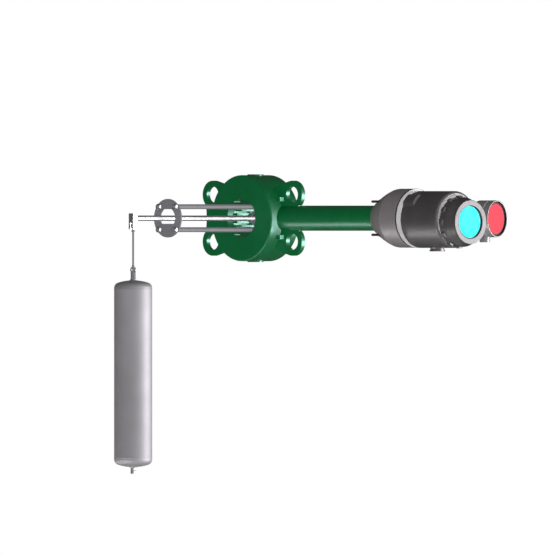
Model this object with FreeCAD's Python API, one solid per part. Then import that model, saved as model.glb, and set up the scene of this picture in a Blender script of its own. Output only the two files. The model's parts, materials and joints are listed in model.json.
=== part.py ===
# Displacer level sensor with a torque tube: a wafer body that is clamped between two
# pipe flanges, a displacer that hangs from a horizontal rod, a torque tube that carries
# the rod and twists under it, and an instrument head that reads the twist.
#
# Frame: +X runs along the torque tube from the body to the head, -Y along the displacer
# rod, +Z up. The origin is the middle of the wafer body, where the torque tube axis
# crosses the axis of the body's bore. All lengths are in millimetres.

import FreeCAD, Part
import math
import os

os.makedirs("parts", exist_ok=True)

# Fits
seat_gap = 0.1            # round seats between pieces that are fixed together
running_gap = 0.05        # pins and bearings that turn
moving_gap = 0.3          # faces of pieces that move past each other

# Wafer body
body_radius = 82.5
body_thickness = 76.2
body_edge = 1.9           # bevel of the rim
bore_radius = 38.0
bolt_circle = 235.0       # stud circle of the pipe flanges on both sides
bolt_angle = 22.5         # the lugs take the studs next to the horizontal
bolt_hole_radius = 15.9
ear_radius = 27.0
ear_thickness = 9.2
ear_front = 8.7           # front face of the lugs, ahead of the body's middle
ear_flank_angle = 15.0
web_reach = 124.7         # outer edge of the web between two lugs, at its waist
web_waist = 1.7           # how far the web is drawn in at its waist
pad_height = 36.2         # small cast pads beside the web, above and below the axis
pad_width = 7.6
pad_length = 10.0
pad_reach = 86.0
bore_rib_height = 31.4    # two ribs along the bore's wall, above and below the rod
bore_rib_width = 1.8
bore_rib_rise = 1.9
bore_rib_length = 15.9    # from the front face
tap_boss_radius = 15.3
tap_boss_rise = 1.6
tap_radius = 9.0
tap_depth = 22.0
tap_socket_flats = 8.0
tap_socket_depth = 7.0

# Torque tube arm and what it holds
arm_radius = 24.15
arm_wall = 5.1
arm_socket_depth = 13.5
arm_reach = 362.0         # far end of the arm from the body's middle
tube_gasket_thickness = 1.5
tube_flange_thickness = 5.0
tube_radius = 7.0
tube_wall = 1.5
tube_collar_radius = 9.0
tube_collar_length = 9.0
retainer_radius = 30.5
retainer_thickness = 5.0
retainer_bore_radius = 6.0
retainer_screw_circle_radius = 27.4
retainer_screw_bite = 6.0
shaft_seat_depth = 12.0   # shaft inside the driver
shaft_radius = 2.4

# Driver at the inner end of the torque tube, and its bearing in the body
driver_radius = 9.0
driver_back = 14.0        # from the rod's axis away from the head
driver_front = 26.0       # from the rod's axis towards the head
driver_boss_radius = 6.7
driver_boss_reach = 13.0
journal_radius = 3.0
journal_length = 30.0
bearing_radius = 5.3
bearing_length = 22.0
pocket_radius = 25.0      # blind pocket in the bore's wall, opposite the arm
pocket_end = 60.0
bracket_base_thickness = 14.0
outer_cheek_height = 15.0
outer_cheek_reach = 18.5  # edge of the outer cheeks from the rod's axis
outer_cheek_thickness = 3.4
inner_cheek_height = 7.6
inner_cheek_reach = 31.0
inner_cheek_thickness = 4.0
cheek_front = 18.3
cheek_back = 13.6
bracket_screw_offset = 19.5
bracket_screw_bite = 6.0  # thread in the body

# Displacer rod and the cage that limits its travel
rod_radius = 5.2
rod_tail_radius = 4.0
rod_tail_length = 11.0
arm_length = 328.5        # from the torque axis to the rod end block's middle
cage_rod_radius = 4.75
cage_tail_radius = 3.0
cage_spread_x = 22.6
cage_spread_z = 22.0
cage_reach = 235.0        # middle of the end plate from the torque axis
plate_radius = 37.0
plate_thickness = 3.0
window_radius = 20.5
window_top = 17.9
window_bottom = 10.6
window_corner = 3.0
cage_ring_radius = 50.0
cage_ring_bore_radius = 25.0
cage_ring_thickness = 6.0
cage_ring_depth = 6.0     # from the body's back face to the ring
cage_screw_radius = 2.5
cage_screw_circle_radius = 44.0
cage_screw_bite = 8.0     # thread in the body
nut_flats = 10.0
nut_thickness = 4.6
nut_thread_end = 1.2      # thread that shows past a nut

# Rod end, hanger link and displacer
end_block_size = 12.0
end_block_top = 9.4
end_block_bottom = 21.3
end_tail_length = 7.2     # rod tail inside the end block
end_slot_width = 4.6
slot_clearance = 2.0      # room past an eye at the bottom of its slot
upper_pin_radius = 2.0
upper_pin_head_radius = 3.2
upper_pin_head = 1.2
upper_pin_drop = 15.0
link_radius = 1.9
upper_eye_radius = 4.6
link_collar_radius = 3.6
link_collar_height = 2.6
link_collar_drop = 2.2    # collar below the end block, clear of it when the link swings
link_length = 84.0        # between the two pin axes
lower_eye_radius = 3.4
lower_pin_radius = 1.5
lower_eye_thickness = 3.0
lower_shank_width = 4.4
lower_shank_length = 9.0
lower_pin_head_radius = 2.4
lower_pin_head = 1.0
stem_radius = 4.85
stem_above_pin = 5.0
stem_slot_width = 3.6
displacer_radius = 36.5
displacer_wall = 3.0
displacer_length = 358.0
displacer_drop = 19.8     # crown of the displacer below the lower pin
dish_height = 15.0
dish_knuckle = 11.0
stub_length = 11.5
stub_hole_radius = 1.6
weld_boss_radius = 6.5    # flat bosses on the crowns, for the stem and the stub
weld_boss_rise = 1.0

# Mounting adapter behind the head
adapter_overlap = 16.0
adapter_nose_radius = 32.6
adapter_cone_length = 51.0
adapter_bulge = 1.3       # the cone's middle stands this far out of a straight line
adapter_radius = 56.5
adapter_barrel_length = 40.6
adapter_wall = 7.0
cavity_start_radius = 31.0
stud_circle_radius = 45.0
stud_radius = 2.5
stud_start = 4.8          # free end of the studs from the adapter's nose
stud_length = 37.0
stud_nut_flats = 8.0
stud_nut_thickness = 4.7
stud_seat = 31.2          # nut seat from the adapter's nose
stud_seat_radius = 6.5
gasket_thickness = 2.6

# Magnet arm and sensor inside the adapter
shaft_end = 66.0          # end of the rotary shaft from the adapter's nose
clamp_radius = 8.0
clamp_length = 10.0
clamp_setback = 3.0       # clamp's front face behind the end of the shaft
clamp_screw_radius = 1.5
clamp_screw_length = 5.0
magnet_arm_thickness = 3.0
magnet_arm_width = 9.0
magnet_drop = 28.0        # magnets and sensor below the torque axis
holder_half_width = 11.0
holder_half_height = 6.0
holder_web = 2.0
holder_length = 10.0
holder_gap = 5.5          # from the middle to each magnet's face
magnet_radius = 3.0
magnet_thickness = 2.5
probe_radius = 2.8
probe_clearance = 1.0     # from the sensor's tip to the magnet arm

# Main housing
housing_radius = 54.5
housing_shift_y = 10.0
housing_shift_z = -2.5
housing_length = 94.9
housing_wall = 8.0
housing_edge = 6.5        # rounding of the front edge
rear_flange_thickness = 1.5
raised_pad_rise = 4.0
raised_pad_length = 30.4
raised_pad_width = 30.0
raised_pad_angle = 45.0
raised_pad_round = 3.0    # rounding of its long edges and front end
access_station = 44.8     # boss and plug from the housing's back
access_boss_radius = 13.2
access_boss_rise = 3.0
access_plug_radius = 14.8
access_plug_thickness = 3.6
access_plug_thread_radius = 9.0
access_plug_thread_length = 10.0
access_slot_width = 2.5
access_slot_depth = 1.5
side_boss_radius = 15.5
side_boss_reach = 56.0    # face of the side boss from the housing's axis
wire_way_radius = 8.0

# Display and its cover
display_shift_z = -7.3
cover_gap = 7.0           # from the housing's end to the cover's back edge
cover_radius = 47.7
cover_skirt_length = 15.0
cover_shoulder_length = 27.0
cover_shoulder_radius = 43.2
cover_length = 34.0
cover_face_radius = 42.3
cover_lug_count = 12
cover_lug_rise = 1.4
cover_lug_width = 9.0
cover_lug_length = 8.8
cover_lug_start = 2.6
spigot_radius = 41.0
spigot_wall = 4.0
spigot_length = 23.0
spigot_end_gap = 1.5
window_hole_radius = 29.8
window_recess = 4.5
glass_radius = 34.0
glass_thickness = 6.0
glass_ring_thickness = 4.5
seal_thickness = 2.4
display_radius = 30.0
module_radius = 36.0
module_length = 66.0
lcd_gap = 1.0             # between the display and the glass
seal_station = 14.0       # from the housing's end

# Terminal box beside the housing
terminal_angle = 13.0     # its axis is turned away from the head's axis
terminal_lead = 11.4      # middle of its cover's face, ahead of the main housing's end
terminal_side = 101.0     # and beside the main housing's axis
terminal_rise = 1.3       # and above it
terminal_radius = 35.4
terminal_length = 42.0
terminal_edge = 4.0
terminal_wall = 5.0
terminal_cover_length = 14.0
terminal_spigot_radius = 30.0
terminal_spigot_length = 5.0
terminal_spigot_wall = 4.0
terminal_rim_radius = 33.2
terminal_recess = 5.0
terminal_web = 3.0
red_disc_radius = 29.0
red_disc_thickness = 1.5
neck_radius = 14.0
neck_station = 29.0       # middle of the neck, behind the cover's face
conduit_station = 28.5
conduit_boss_radius = 10.0
conduit_boss_reach = 45.0
conduit_radius = 7.2
terminal_block_width = 30.0
terminal_block_height = 16.0
terminal_block_depth = 10.0
terminal_screw_radius = 2.4
terminal_screw_height = 2.0
terminal_screw_count = 3
terminal_screw_pitch = 9.0

# Small socket screws
screw_radius = 2.0
screw_head_radius = 3.5
screw_head_height = 3.6
set_screw_radius = 2.0
set_screw_socket_flats = 2.0
screw_socket_flats = 3.0

ALONG_X = FreeCAD.Vector(1, 0, 0)
ALONG_Y = FreeCAD.Vector(0, 1, 0)
ALONG_Z = FreeCAD.Vector(0, 0, 1)


def at(x, y, z):
    """Point or direction in the object's frame."""
    return FreeCAD.Vector(x, y, z)


def bar(radius, start, direction, length):
    """Round bar from a start point."""
    return Part.makeCylinder(radius, length, start, direction)


def tube(outer, inner, start, direction, length):
    """Round bar with a hole right through."""
    return bar(outer, start, direction, length).cut(bar(inner, start, direction, length))


def block(x_low, x_high, y_low, y_high, z_low, z_high):
    """Square-edged block between its low and high corners."""
    return Part.makeBox(x_high - x_low, y_high - y_low, z_high - z_low, at(x_low, y_low, z_low))


def placed(shape, start, direction):
    """Copy of a shape made along +X, moved to start at a point and run along a direction."""
    moved = shape.copy()
    moved.Placement = FreeCAD.Placement(start, FreeCAD.Rotation(ALONG_X, direction))
    return moved


def turned(outline, start, direction):
    """Solid turned about an axis, from (distance along the axis, radius) pairs."""
    points = [at(along, radius, 0) for along, radius in outline]
    face = Part.Face(Part.makePolygon(points + [points[0]]))
    return placed(face.revolve(at(0, 0, 0), ALONG_X, 360), start, direction)


def hexagon(flats, start, direction, length):
    """Hexagonal bar with two flats square to X, or to Y where the bar runs along X."""
    corner = flats / math.sqrt(3)
    points = [at(0, corner * math.cos(math.radians(60 * i + 30)),
                 corner * math.sin(math.radians(60 * i + 30))) for i in range(6)]
    face = Part.Face(Part.makePolygon(points + [points[0]]))
    return placed(face.extrude(at(length, 0, 0)), start, direction)


def nut(flats, hole_radius, start, direction, thickness):
    """Hexagon nut, its outer corners bevelled."""
    corner = flats / math.sqrt(3)
    bevel = corner - flats / 2
    envelope = turned([(0, 0), (0, corner), (thickness - bevel, corner),
                       (thickness, flats / 2), (thickness, 0)], start, direction)
    body = hexagon(flats, start, direction, thickness).common(envelope)
    return body.cut(bar(hole_radius + running_gap, start, direction, thickness))


def socket_screw(seat, direction, thread, length):
    """Socket-head screw: the head rests on the seat and the thread runs along direction."""
    size = thread / screw_radius
    head_height = screw_head_height * size
    top = seat - direction * head_height
    screw = bar(screw_head_radius * size, top, direction, head_height)
    screw = screw.fuse(bar(thread, seat, direction, length))
    return screw.cut(hexagon(screw_socket_flats * size, top, direction, head_height / 2))


def set_screw(tip, direction, length):
    """Headless screw from its tip outwards, with a hexagon socket in its outer end."""
    end = tip + direction * length
    socket = hexagon(set_screw_socket_flats, end, direction * -1, length / 2)
    return bar(set_screw_radius - running_gap, tip, direction, length).cut(socket)


def group(shapes):
    """Separate solids kept as one piece of hardware."""
    return Part.makeCompound(shapes)


def joined(shapes):
    """One solid from shapes that overlap or meet."""
    return shapes[0].multiFuse(shapes[1:]).removeSplitter()


def around(shape, centre, direction, angles):
    """Copies of a shape turned about an axis."""
    copies = []
    for angle in angles:
        copy = shape.copy()
        copy.rotate(centre, direction, angle)
        copies.append(copy)
    return copies


def rounded(shape, radius, chosen):
    """Rounds the edges that a test picks out."""
    return shape.makeFillet(radius, [edge for edge in shape.Edges if chosen(edge)])


# Places of repeated screws
screw_turns = (45, 135, 225, 315)                                      # four on a circle
bracket_screw_places = [(-bracket_screw_offset, 0), (bracket_screw_offset, 0)]   # (Y, Z)

# Stations worked out from the sizes above
half_body = body_thickness / 2
ear_x = bolt_circle / 2 * math.cos(math.radians(bolt_angle))
ear_z = bolt_circle / 2 * math.sin(math.radians(bolt_angle))
tap_mouth = body_radius + tap_boss_rise
arm_bore_radius = arm_radius - arm_wall
arm_seat = body_radius - arm_socket_depth
ring_back = half_body - cage_ring_depth
ring_front = ring_back - cage_ring_thickness
cage_corners = [(x, z) for z in (cage_spread_z, -cage_spread_z) for x in (-cage_spread_x, cage_spread_x)]
plate_back = -cage_reach + plate_thickness / 2
plate_front = -cage_reach - plate_thickness / 2
bracket_face = -pocket_end + bracket_base_thickness
flange_start = arm_reach + tube_gasket_thickness
flange_end = flange_start + tube_flange_thickness
retainer_end = flange_end + retainer_thickness
nose = arm_reach - adapter_overlap
barrel_start = nose + adapter_cone_length
barrel_end = barrel_start + adapter_barrel_length
cavity_start = flange_end - seat_gap
cavity_radius = adapter_radius - adapter_wall
stud_spread = stud_circle_radius / math.sqrt(2)
shaft_tip = nose + shaft_end
clamp_front = shaft_tip - clamp_setback
holder_start = clamp_front + magnet_arm_thickness
housing_start = barrel_end + gasket_thickness
housing_barrel_start = housing_start + rear_flange_thickness
housing_inside = housing_barrel_start + housing_wall
housing_end = housing_barrel_start + housing_length
cover_start = housing_end + cover_gap
cover_end = cover_start + cover_length
glass_back = cover_end - window_recess - glass_thickness
upper_pin_y = -arm_length
upper_pin_z = -upper_pin_drop
lower_pin_z = upper_pin_z - link_length
stem_top = lower_pin_z + stem_above_pin
crown_top = lower_pin_z - displacer_drop
crown_bottom = crown_top - displacer_length
upper_eye_thickness = end_slot_width - 2 * moving_gap
terminal_turn = math.radians(terminal_angle)
terminal_back = at(-math.cos(terminal_turn), -math.sin(terminal_turn), 0)
terminal_front = at(housing_end + terminal_lead, housing_shift_y + terminal_side,
                    housing_shift_z + terminal_rise)
side_boss_face = housing_shift_y + side_boss_reach


def on_housing(x):
    """Point of the main housing's axis."""
    return at(x, housing_shift_y, housing_shift_z)


def on_display(x):
    """Point of the display cover's axis."""
    return at(x, housing_shift_y, display_shift_z)


def on_terminal(station):
    """Point of the terminal box's axis, a distance behind its cover's face."""
    return terminal_front + terminal_back * station


def lug_plate(side):
    """Plate with the two stud lugs of one side: straight flanks run out of the body and
    tangent into the round lugs, and the web between the lugs is drawn in at its waist."""
    flank = math.radians(ear_flank_angle)
    root_x = body_radius / 2
    shoulder_x = web_reach + web_waist
    shoulder_z = ear_z - math.sqrt(ear_radius ** 2 - (shoulder_x - ear_x) ** 2)
    tangent_x = ear_x - ear_radius * math.sin(flank)
    tangent_z = ear_z + ear_radius * math.cos(flank)
    root_z = tangent_z - (tangent_x - root_x) * math.tan(flank)
    outer_angle = math.atan2(shoulder_z - ear_z, shoulder_x - ear_x)
    middle_angle = (math.pi / 2 + flank + outer_angle) / 2
    middle_x = ear_x + ear_radius * math.cos(middle_angle)
    middle_z = ear_z + ear_radius * math.sin(middle_angle)

    def corner(x, z):
        return at(side * x, -ear_front, z)

    edges = [Part.makeLine(corner(root_x, -root_z), corner(root_x, root_z)),
             Part.makeLine(corner(root_x, root_z), corner(tangent_x, tangent_z)),
             Part.Arc(corner(tangent_x, tangent_z), corner(middle_x, middle_z),
                      corner(shoulder_x, shoulder_z)).toShape(),
             Part.Arc(corner(shoulder_x, shoulder_z), corner(web_reach, 0),
                      corner(shoulder_x, -shoulder_z)).toShape(),
             Part.Arc(corner(shoulder_x, -shoulder_z), corner(middle_x, -middle_z),
                      corner(tangent_x, -tangent_z)).toShape(),
             Part.makeLine(corner(tangent_x, -tangent_z), corner(root_x, -root_z))]
    return Part.Face(Part.Wire(edges)).extrude(at(0, ear_thickness, 0))


def make_wafer_body():
    """Cast wafer body with stud lugs, bore, arm socket, bearing pocket and taps."""
    body = [turned([(-half_body, 0), (-half_body, body_radius - body_edge),
                    (-half_body + body_edge, body_radius), (half_body - body_edge, body_radius),
                    (half_body, body_radius - body_edge), (half_body, 0)], at(0, 0, 0), ALONG_Y),
            lug_plate(1), lug_plate(-1)]
    cuts = [bar(bore_radius, at(0, -half_body, 0), ALONG_Y, body_thickness),
            bar(cage_ring_radius, at(0, ring_front, 0), ALONG_Y, half_body - ring_front),
            bar(arm_bore_radius, at(0, 0, 0), ALONG_X, body_radius),
            bar(arm_radius + seat_gap, at(arm_seat, 0, 0), ALONG_X, body_radius),
            bar(pocket_radius, at(0, 0, 0), at(-1, 0, 0), pocket_end)]
    ribs = []
    for up in (1, -1):
        body.append(bar(tap_boss_radius, at(0, 0, 0), at(0, 0, up), tap_mouth))
        cuts.append(bar(tap_radius, at(0, 0, up * tap_mouth), at(0, 0, -up), tap_depth))
        for side in (1, -1):
            pad = block(body_radius / 2, pad_reach, -ear_front - pad_length, 0,
                        up * pad_height - pad_width / 2, up * pad_height + pad_width / 2)
            body.append(pad if side > 0 else pad.mirror(at(0, 0, 0), ALONG_X))
            cuts.append(bar(bolt_hole_radius, at(side * ear_x, -ear_front, up * ear_z),
                            ALONG_Y, ear_thickness))
        wall_x = math.sqrt(bore_radius ** 2 - bore_rib_height ** 2)
        rib = block(-bore_radius, bore_rib_rise - wall_x, -half_body, bore_rib_length - half_body,
                    up * bore_rib_height - bore_rib_width / 2, up * bore_rib_height + bore_rib_width / 2)
        ribs.append(rib)
    for y, z in bracket_screw_places:
        cuts.append(bar(screw_radius + running_gap, at(-pocket_end, y, z), at(-1, 0, 0),
                        bracket_screw_bite))
    screw_hole = bar(cage_screw_radius + running_gap, at(cage_screw_circle_radius, ring_front, 0),
                     at(0, -1, 0), cage_screw_bite)
    cuts += around(screw_hole, at(0, 0, 0), ALONG_Y, screw_turns)
    return joined([joined(body).cut(cuts)] + ribs)


def make_tap_plug(up):
    """Pipe plug with a hexagon socket, flush with its boss."""
    mouth = at(0, 0, up * tap_mouth)
    inward = at(0, 0, -up)
    plug = bar(tap_radius - seat_gap, mouth, inward, tap_depth - seat_gap)
    return plug.cut(hexagon(tap_socket_flats, mouth, inward, tap_socket_depth))


def make_bearing_bracket():
    """Plug that fills the pocket opposite the arm. Two inner cheeks hold the bearing, and
    two outer cheeks guard it."""
    parts = [bar(pocket_radius - seat_gap, at(-pocket_end, 0, 0), ALONG_X, bracket_base_thickness)]
    for up in (1, -1):
        for height, reach, thick in ((outer_cheek_height, outer_cheek_reach, outer_cheek_thickness),
                                     (inner_cheek_height, inner_cheek_reach, inner_cheek_thickness)):
            parts.append(block(bracket_face - 1, -reach, -cheek_front, cheek_back,
                               up * height - thick / 2, up * height + thick / 2))
    cuts = [bar(bearing_radius + running_gap, at(-inner_cheek_reach, 0, 0), at(-1, 0, 0), bearing_length)]
    for y, z in bracket_screw_places:
        cuts.append(bar(screw_radius + seat_gap, at(-pocket_end, y, z), ALONG_X, bracket_base_thickness))
        cuts.append(bar(screw_head_radius + seat_gap, at(bracket_face - screw_head_height, y, z),
                        ALONG_X, screw_head_height + cheek_front))
    return joined(parts).cut(cuts).removeSplitter()


def make_torque_tube():
    """Thin tube with a collar at the driver and a flange at the far end of the arm."""
    start = driver_front + moving_gap
    body = turned([(start, 0), (start, tube_collar_radius),
                   (start + tube_collar_length, tube_collar_radius),
                   (start + tube_collar_length, tube_radius), (flange_start, tube_radius),
                   (flange_start, arm_radius), (flange_end, arm_radius), (flange_end, 0)],
                  at(0, 0, 0), ALONG_X)
    return body.cut(bar(tube_radius - tube_wall, at(start, 0, 0), ALONG_X, flange_end - start))


def make_retainer():
    """Ring that clamps the torque tube's flange."""
    ring = tube(retainer_radius, retainer_bore_radius, at(flange_end, 0, 0), ALONG_X, retainer_thickness)
    hole = bar(screw_radius + seat_gap, at(flange_end, retainer_screw_circle_radius, 0), ALONG_X,
               retainer_thickness)
    return ring.cut(around(hole, at(0, 0, 0), ALONG_X, screw_turns))


def make_cage_ring():
    """Ring in the back of the body that the four cage rods are bolted to."""
    ring = tube(cage_ring_radius - seat_gap, cage_ring_bore_radius, at(0, ring_front, 0), ALONG_Y,
                cage_ring_thickness)
    hole = bar(cage_screw_radius + seat_gap, at(cage_screw_circle_radius, ring_front, 0), ALONG_Y,
               cage_ring_thickness)
    cuts = around(hole, at(0, 0, 0), ALONG_Y, screw_turns)
    for x, z in cage_corners:
        cuts.append(bar(cage_tail_radius + seat_gap, at(x, ring_front, z), ALONG_Y, cage_ring_thickness))
    return ring.cut(cuts)


def make_cage_rod(x, z):
    """Round rod with a threaded tail at each end, through the ring and through the plate."""
    tail = nut_thickness + nut_thread_end
    thread_start = plate_front - tail
    thread_length = ring_back + tail - thread_start
    shank = bar(cage_rod_radius, at(x, plate_back, z), ALONG_Y, ring_front - plate_back)
    return joined([shank, bar(cage_tail_radius, at(x, thread_start, z), ALONG_Y, thread_length)])


def make_end_plate():
    """Round plate whose window stops the displacer rod at both ends of its travel."""
    plate = bar(plate_radius, at(0, plate_front, 0), ALONG_Y, plate_thickness)
    opening = bar(window_radius, at(0, plate_front, 0), ALONG_Y, plate_thickness)
    opening = opening.common(block(-window_radius, window_radius, plate_front, plate_back,
                                   -window_bottom, window_top))
    opening = rounded(opening, window_corner, lambda edge: edge.Curve.TypeId == "Part::GeomLine"
                      and abs(edge.tangentAt(edge.FirstParameter).y) > 0.9)
    cuts = [opening]
    for x, z in cage_corners:
        cuts.append(bar(cage_tail_radius + seat_gap, at(x, plate_front, z), ALONG_Y, plate_thickness))
    return plate.cut(cuts)


def make_adapter():
    """Bell-shaped casting between the arm and the head, hollow for the magnet arm."""
    middle_x = nose + adapter_cone_length / 2
    middle_radius = (adapter_nose_radius + adapter_radius) / 2 + adapter_bulge
    bell = turned([(nose, adapter_nose_radius), (middle_x, middle_radius), (barrel_start, adapter_radius),
                   (barrel_end, adapter_radius), (barrel_end, cavity_radius),
                   (barrel_start + adapter_wall, cavity_radius), (cavity_start, cavity_start_radius),
                   (cavity_start, arm_radius + seat_gap), (nose, arm_radius + seat_gap)],
                  at(0, 0, 0), ALONG_X)
    cuts = []
    for y in (stud_spread, -stud_spread):
        for z in (stud_spread, -stud_spread):
            cuts.append(bar(stud_seat_radius, at(nose, y, z), ALONG_X, stud_seat))
            cuts.append(bar(stud_radius + seat_gap, at(nose, y, z), ALONG_X,
                            stud_start + stud_length + seat_gap))
    hole = bar(screw_radius + running_gap, at(cavity_start, retainer_screw_circle_radius, 0),
               at(-1, 0, 0), retainer_screw_bite)
    cuts += around(hole, at(0, 0, 0), ALONG_X, screw_turns)
    return bell.cut(cuts).removeSplitter()


def make_main_housing():
    """Barrel that hangs a little low and to one side of the adapter, with the display's
    spigot in front, a raised pad, an access boss below and a boss for the terminal box."""
    barrel = bar(housing_radius, on_housing(housing_start), ALONG_X, housing_end - housing_start)
    barrel = rounded(barrel, housing_edge, lambda edge: edge.BoundBox.XMin > housing_end - 1
                     and edge.BoundBox.YLength > housing_radius)
    crest = housing_radius + raised_pad_rise
    pad = block(housing_start, housing_barrel_start + raised_pad_length, -raised_pad_width / 2,
                raised_pad_width / 2, 0, crest)
    pad = pad.common(bar(crest, at(housing_start, 0, 0), ALONG_X, housing_length))
    pad = rounded(pad, raised_pad_round, lambda edge: edge.BoundBox.ZMin > housing_radius
                  and edge.BoundBox.XMax > housing_start + raised_pad_round)
    pad.rotate(at(0, 0, 0), ALONG_X, raised_pad_angle)
    pad.translate(at(0, housing_shift_y, housing_shift_z))
    neck = on_terminal(neck_station)
    access = on_housing(housing_barrel_start + access_station)
    access_face = housing_radius + access_boss_rise
    solids = [barrel, pad,
              bar(adapter_radius, at(housing_start, 0, 0), ALONG_X, rear_flange_thickness),
              bar(access_boss_radius, access, at(0, 0, -1), access_face),
              bar(side_boss_radius, at(neck.x, housing_shift_y, neck.z), ALONG_Y, side_boss_reach),
              bar(spigot_radius, on_display(housing_end - housing_wall), ALONG_X,
                  housing_wall + spigot_length)]
    inner_radius = housing_radius - housing_wall
    groove = housing_end + seal_station - seal_thickness / 2
    cuts = [bar(inner_radius, on_housing(housing_inside), ALONG_X, housing_length - 2 * housing_wall),
            bar(spigot_radius - spigot_wall, on_display(housing_inside), ALONG_X,
                housing_end + spigot_length - housing_inside),
            bar(probe_radius + seat_gap, at(housing_start, 0, -magnet_drop), ALONG_X,
                housing_inside - housing_start),
            bar(access_plug_thread_radius + running_gap, access, at(0, 0, -1), access_face),
            bar(wire_way_radius, at(neck.x, housing_shift_y, neck.z), ALONG_Y, side_boss_reach),
            tube(spigot_radius + 1, spigot_radius - seal_thickness, on_display(groove),
                 ALONG_X, seal_thickness)]
    return joined(solids).cut(cuts).removeSplitter()


def make_access_plug():
    """Round plug with a screwdriver slot, under the main housing."""
    face = on_housing(housing_barrel_start + access_station)
    face.z -= housing_radius + access_boss_rise
    head = bar(access_plug_radius, face, at(0, 0, -1), access_plug_thickness)
    thread = bar(access_plug_thread_radius, face, ALONG_Z, access_plug_thread_length)
    bottom = face.z - access_plug_thickness
    slot = block(face.x - access_plug_radius, face.x + access_plug_radius,
                 face.y - access_slot_width / 2, face.y + access_slot_width / 2,
                 bottom, bottom + access_slot_depth)
    return joined([head, thread]).cut(slot)


def make_display_cover():
    """Screwed cover with a bevelled face, a row of grip lugs and a round window."""
    skirt_inner = spigot_radius + moving_gap
    skirt_depth = spigot_length - cover_gap + spigot_end_gap
    glass_seat = cover_length - window_recess
    glass_bore = glass_radius + seat_gap
    shell = turned([(0, skirt_inner), (0, cover_radius), (cover_skirt_length, cover_radius),
                    (cover_shoulder_length, cover_shoulder_radius), (cover_length, cover_face_radius),
                    (cover_length, window_hole_radius), (glass_seat, window_hole_radius),
                    (glass_seat, glass_bore), (skirt_depth, glass_bore), (skirt_depth, skirt_inner)],
                   on_display(cover_start), ALONG_X)
    crest = cover_radius + cover_lug_rise
    lug_start = cover_start + cover_lug_start
    lug = block(lug_start, lug_start + cover_lug_length, -cover_lug_width / 2, cover_lug_width / 2,
                spigot_radius + 2 * moving_gap, crest)
    lug = lug.common(bar(crest, at(lug_start, 0, 0), ALONG_X, cover_lug_length))
    lug.translate(at(0, housing_shift_y, display_shift_z))
    lugs = around(lug, on_display(0), ALONG_X, [360 / cover_lug_count * i for i in range(cover_lug_count)])
    return joined([shell] + lugs)


def make_terminal_box():
    """Round box beside the head, with its neck to the housing and its cable entry below."""
    face = terminal_cover_length + moving_gap
    body = turned([(face, 0), (face, terminal_radius), (terminal_length, terminal_radius),
                   (terminal_length, 0)], terminal_front, terminal_back)
    rear = on_terminal(terminal_length)
    body = rounded(body, terminal_edge, lambda edge: edge.Curve.TypeId == "Part::GeomCircle"
                   and edge.Curve.Center.distanceToPoint(rear) < 0.01)
    neck = on_terminal(neck_station)
    entry = on_terminal(conduit_station)
    solids = [body,
              bar(terminal_spigot_radius, on_terminal(face - terminal_spigot_length), terminal_back,
                  terminal_spigot_length + 1),
              bar(neck_radius, at(neck.x, side_boss_face, neck.z), ALONG_Y, neck.y - side_boss_face),
              bar(conduit_boss_radius, entry, at(0, 0, -1), conduit_boss_reach)]
    inside = terminal_length - terminal_wall
    cuts = [bar(terminal_spigot_radius - terminal_spigot_wall, terminal_front, terminal_back, inside),
            bar(wire_way_radius, at(neck.x, side_boss_face, neck.z), ALONG_Y, neck.y - side_boss_face),
            bar(conduit_radius, entry, at(0, 0, -1), conduit_boss_reach)]
    return joined(solids).cut(cuts).removeSplitter()


def make_terminal_cover():
    """Screwed cup whose recessed face carries the red disc."""
    web = terminal_recess + terminal_web
    skirt = terminal_spigot_radius + moving_gap
    return turned([(terminal_recess, 0), (terminal_recess, terminal_rim_radius),
                   (0, terminal_rim_radius), (0, terminal_radius),
                   (terminal_cover_length, terminal_radius), (terminal_cover_length, skirt),
                   (web, skirt), (web, 0)], terminal_front, terminal_back)


def make_terminal_block():
    """Moulded block for the loop wires, on the back wall of the terminal box."""
    half_width = terminal_block_width / 2
    half_height = terminal_block_height / 2
    body = block(0, terminal_block_depth, -half_width, half_width, -half_height, half_height)
    station = terminal_length - terminal_wall - terminal_block_depth
    return placed(body, on_terminal(station), terminal_back)


def make_terminal_screws():
    """Round screw heads on the face of the terminal block."""
    station = terminal_length - terminal_wall - terminal_block_depth - terminal_screw_height
    screws = []
    for i in range(terminal_screw_count):
        across = (i - (terminal_screw_count - 1) / 2) * terminal_screw_pitch
        screws.append(placed(bar(terminal_screw_radius, at(0, across, 0), ALONG_X, terminal_screw_height),
                             on_terminal(station), terminal_back))
    return group(screws)


def make_driver():
    """Driver that joins the torque tube, the rotary shaft and the displacer rod, with a
    journal that turns in the bearing."""
    solids = [bar(driver_radius, at(-driver_back, 0, 0), ALONG_X, driver_back + driver_front),
              bar(driver_boss_radius, at(0, 0, 0), at(0, -1, 0), driver_boss_reach),
              bar(journal_radius, at(-driver_back, 0, 0), at(-1, 0, 0), journal_length)]
    screw_y = -driver_boss_reach + set_screw_radius * 2
    cuts = [bar(rod_tail_radius + seat_gap, at(0, -driver_boss_reach, 0), ALONG_Y,
                rod_tail_length + moving_gap),
            bar(shaft_radius + seat_gap, at(driver_front, 0, 0), at(-1, 0, 0), shaft_seat_depth),
            bar(set_screw_radius, at(0, screw_y, 0), ALONG_Z, driver_radius)]
    return joined(solids).cut(cuts)


def make_displacer_rod():
    """Long round rod with a thinner tail at each end, in the driver and in the end block."""
    shank_end = -arm_length + end_block_size / 2
    shank = bar(rod_radius, at(0, -driver_boss_reach, 0), at(0, -1, 0), -driver_boss_reach - shank_end)
    tail_start = -driver_boss_reach + rod_tail_length
    tail_end = shank_end - end_tail_length
    return joined([shank, bar(rod_tail_radius, at(0, tail_start, 0), at(0, -1, 0), tail_start - tail_end)])


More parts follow.
